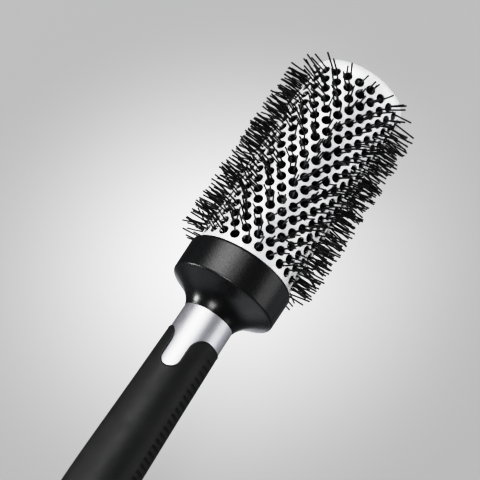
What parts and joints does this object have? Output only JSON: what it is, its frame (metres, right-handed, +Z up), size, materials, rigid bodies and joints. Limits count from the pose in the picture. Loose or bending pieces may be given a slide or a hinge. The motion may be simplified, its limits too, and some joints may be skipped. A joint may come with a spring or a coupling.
{
  "type": "round barrel brush",
  "caption": "Round thermal hair brush: perforated ceramic-coated barrel, black nylon bristles, black collar and flared hub, silver neck and rubber grip.",
  "frame": {"origin": "bottom centre of the bounding box: the brush lies on its side on its bristle tips", "axes": "+X along the brush from the butt to the tip; +Z up, through the middle of the tufts at the top of every second ring, 2 degrees off the middle of the grip's upper window; the brush's own axis is parallel to X at the height of the bristles' reach"},
  "size_m": [0.249, 0.0634, 0.0634],
  "materials": {
    "barrel_coating": "satin",
    "black_plastic_satin": "satin",
    "black_plastic_gloss": "gloss",
    "silver_core": "satin",
    "grip_rubber": "matte",
    "bristle_nylon": "satin",
    "steel": "satin"
  },
  "bodies": {
    "root": {"barrel": "barrel_coating", "tip_cap": "black_plastic_satin", "collar": "black_plastic_satin", "hub": "black_plastic_gloss", "handle_core": "silver_core", "grip": "grip_rubber", "butt_cap": "black_plastic_satin", "wire_anchor": "steel", "wire_strand_a": "steel", "wire_strand_b": "steel", "bristle_ring_01": "bristle_nylon", "bristle_ring_02": "bristle_nylon", "bristle_ring_03": "bristle_nylon", "bristle_ring_04": "bristle_nylon", "bristle_ring_05": "bristle_nylon", "bristle_ring_06": "bristle_nylon", "bristle_ring_07": "bristle_nylon", "bristle_ring_08": "bristle_nylon", "bristle_ring_09": "bristle_nylon", "bristle_ring_10": "bristle_nylon", "bristle_ring_11": "bristle_nylon", "bristle_ring_12": "bristle_nylon", "bristle_ring_13": "bristle_nylon", "bristle_ring_14": "bristle_nylon", "bristle_ring_15": "bristle_nylon", "bristle_ring_16": "bristle_nylon", "bristle_ring_17": "bristle_nylon", "bristle_ring_18": "bristle_nylon", "bristle_ring_19": "bristle_nylon", "bristle_ring_20": "bristle_nylon"}
  },
  "joints": []
}
